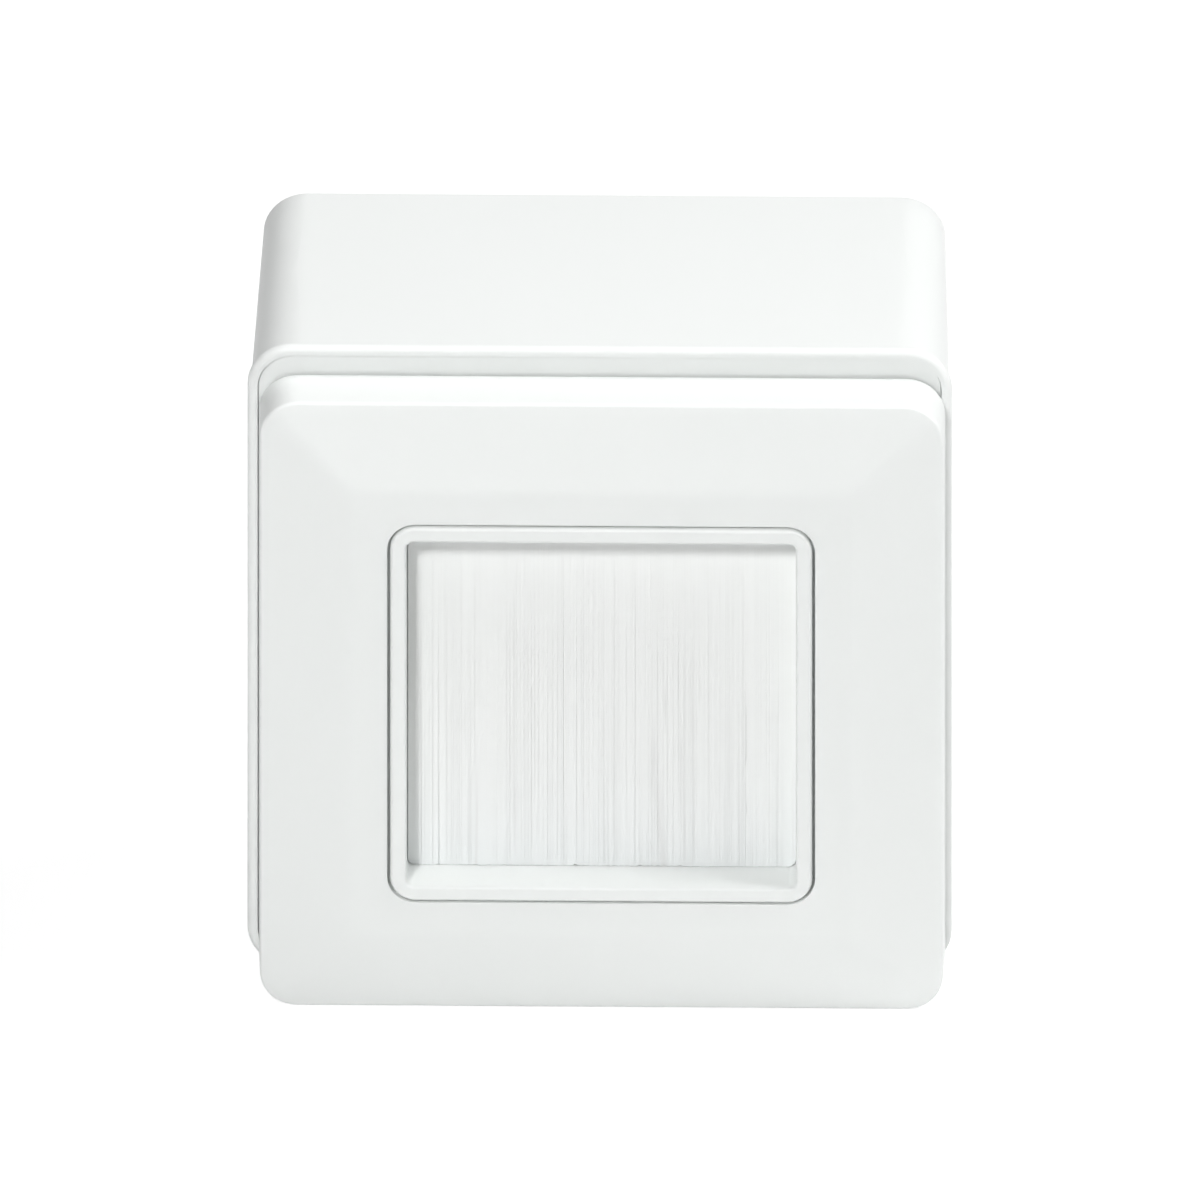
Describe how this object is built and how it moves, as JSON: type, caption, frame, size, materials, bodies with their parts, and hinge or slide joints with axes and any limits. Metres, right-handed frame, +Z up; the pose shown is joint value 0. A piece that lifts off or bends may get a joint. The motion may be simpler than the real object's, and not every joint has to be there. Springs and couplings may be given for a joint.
{
  "type": "brush wall plate",
  "caption": "Square surface-mounted wall box with a bevelled cover frame and a brush-filled opening that lets cables pass.",
  "frame": {"origin": "middle of the box's back face, where it lies on the wall", "axes": "+Z up the wall, +Y into the wall, so the brush faces -Y, and +X to the right as seen from the front"},
  "size_m": [0.0822, 0.0501, 0.0839],
  "materials": {
    "box_plastic": "satin white",
    "plate_plastic": "satin white",
    "frame_plastic": "satin white",
    "insert_plastic": "satin white",
    "filaments": "white nylon",
    "channel_metal": "mill",
    "wire_metal": "drawn",
    "screw_metal": "bright zinc"
  },
  "bodies": {
    "root": {"surface_box": "box_plastic", "mounting_plate": "plate_plastic", "cover_frame": "frame_plastic", "centre_insert": "insert_plastic", "bristles": "filaments", "brush_channel": "channel_metal", "brush_core_wire": "wire_metal", "brush_retainer": "insert_plastic", "plate_screw_left": "screw_metal", "plate_screw_right": "screw_metal"}
  },
  "joints": []
}
